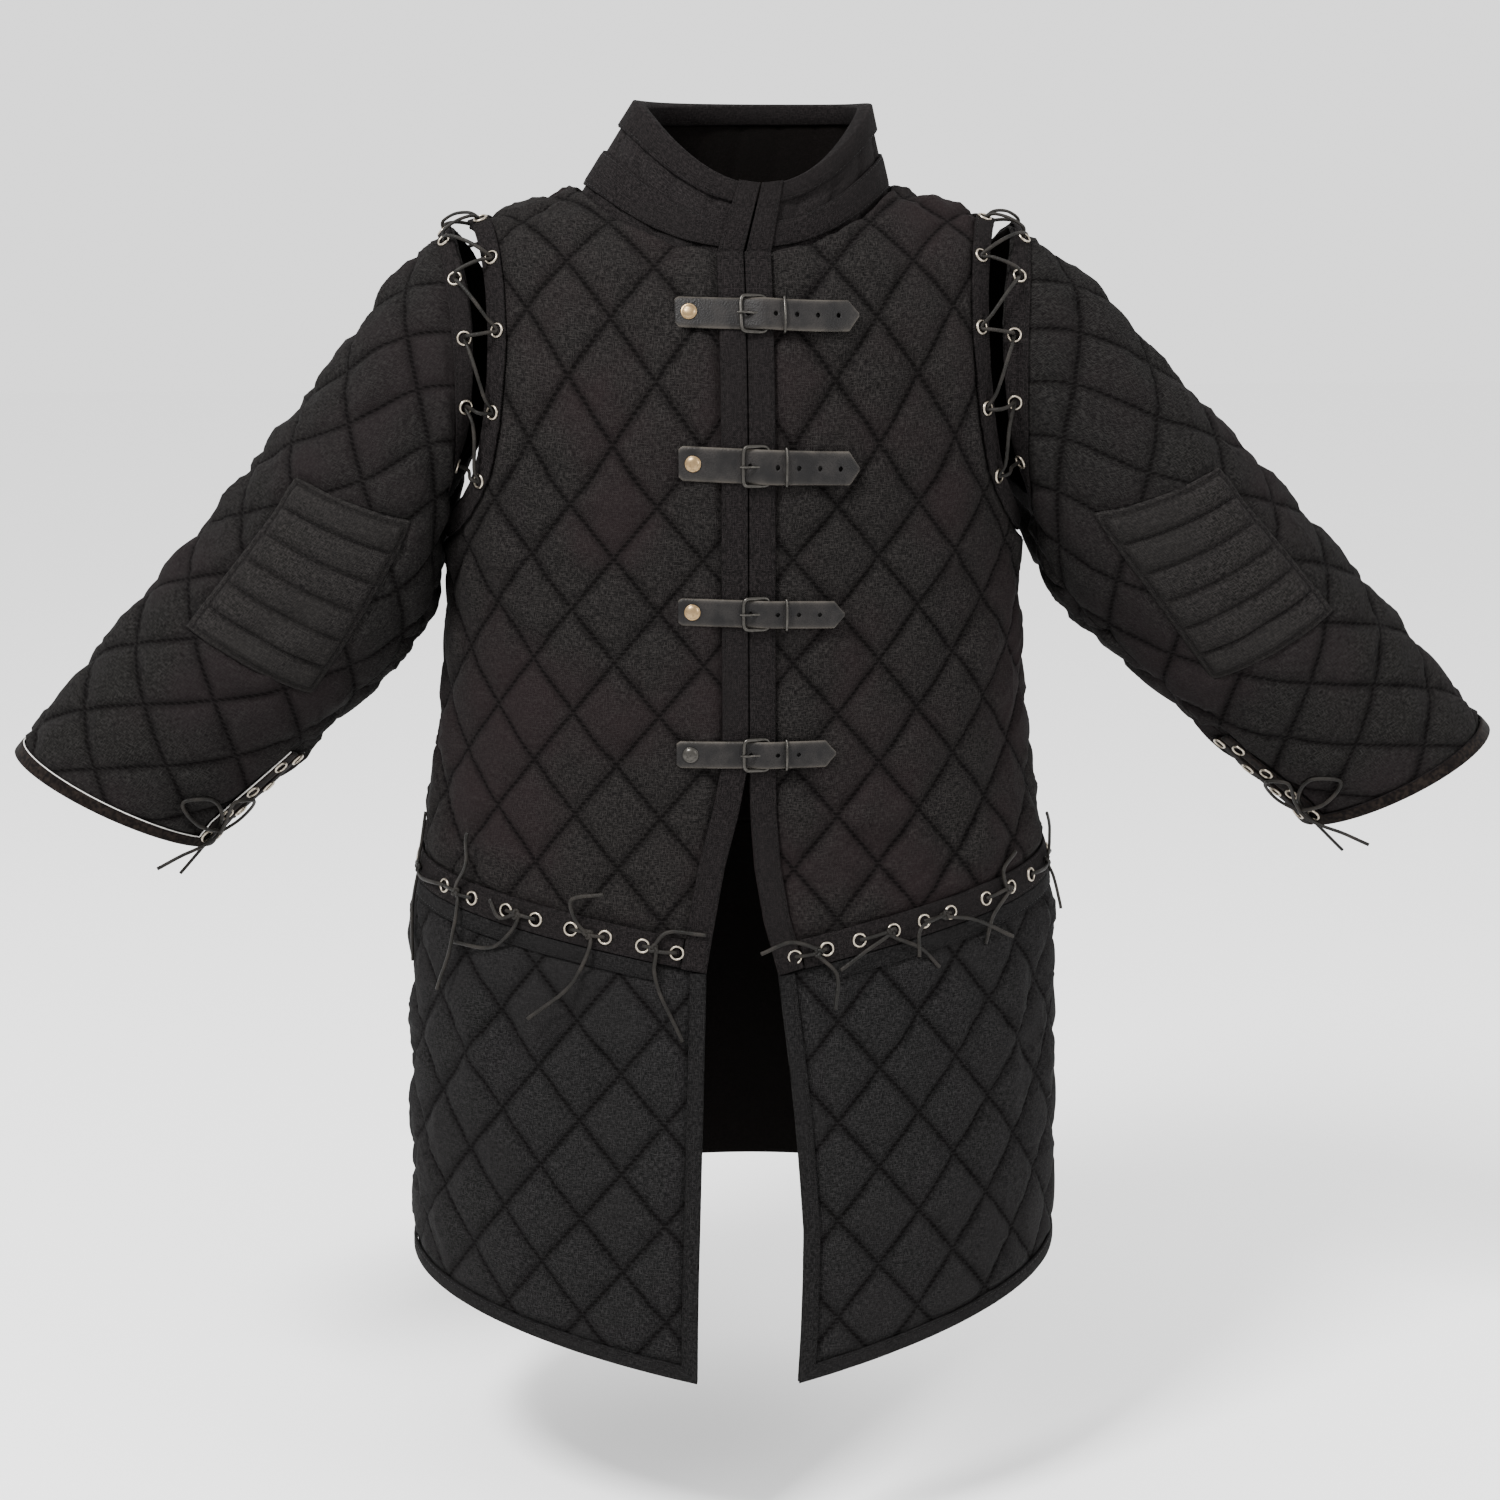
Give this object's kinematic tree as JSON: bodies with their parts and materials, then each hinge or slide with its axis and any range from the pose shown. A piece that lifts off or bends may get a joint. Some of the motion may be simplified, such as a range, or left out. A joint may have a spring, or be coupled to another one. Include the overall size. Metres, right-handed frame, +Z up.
{
  "type": "gambeson",
  "caption": "Quilted arming coat, filled out as worn: standing collar, laced-on sleeves and skirt, buckled straps down an open front.",
  "frame": {"origin": "centre line of the wearer, level with the neck points of the shoulders, where the shoulders hold the coat up", "axes": "+X towards the wearer's left, +Y towards the wearer's back, +Z up; the front faces -Y"},
  "size_m": [1.168, 0.382, 0.9555],
  "materials": {
    "body_canvas": "stonewashed cotton canvas, quilted",
    "skirt_canvas": "cotton canvas, quilted",
    "band_canvas": "folded cotton canvas, stitched",
    "suede": "split suede",
    "strap_leather": "worn strap leather",
    "thong": "waxed leather thong",
    "buckle_metal": "antiqued metal"
  },
  "bodies": {
    "root": {"armhole_band_back_left": "band_canvas", "armhole_band_back_right": "band_canvas", "armhole_band_front_left": "band_canvas", "armhole_band_front_right": "band_canvas", "armhole_lace_left": "thong", "armhole_lace_right": "thong", "back": "body_canvas", "buckle_1": "buckle_metal", "buckle_2": "buckle_metal", "buckle_3": "buckle_metal", "buckle_4": "buckle_metal", "chape_1": "strap_leather", "chape_2": "strap_leather", "chape_3": "strap_leather", "chape_4": "strap_leather", "collar": "body_canvas", "collar_band": "band_canvas", "collar_binding": "band_canvas", "cuff_edging_left": "suede", "cuff_edging_right": "suede", "cuff_lace_left": "thong", "cuff_lace_right": "thong", "elbow_pad_left": "suede", "elbow_pad_right": "suede", "front_left": "body_canvas", "front_right": "body_canvas", "front_strip_left": "band_canvas", "front_strip_right": "band_canvas", "keeper_1": "buckle_metal", "keeper_2": "buckle_metal", "keeper_3": "buckle_metal", "keeper_4": "buckle_metal", "skirt_back": "skirt_canvas", "skirt_edging_left": "band_canvas", "skirt_edging_right": "band_canvas", "skirt_front_left": "skirt_canvas", "skirt_front_right": "skirt_canvas", "skirt_hem_back": "band_canvas", "sleeve_left": "body_canvas", "sleeve_right": "body_canvas", "strap_1": "strap_leather", "strap_2": "strap_leather", "strap_3": "strap_leather", "strap_4": "strap_leather", "tie_left_1": "thong", "tie_left_2": "thong", "tie_left_3": "thong", "tie_left_4": "thong", "tie_right_1": "thong", "tie_right_2": "thong", "tie_right_3": "thong", "tie_right_4": "thong", "tie_side_left": "thong", "tie_side_right": "thong", "waist_band_back": "band_canvas", "waist_band_front_left": "band_canvas", "waist_band_front_right": "band_canvas"}
  },
  "joints": []
}
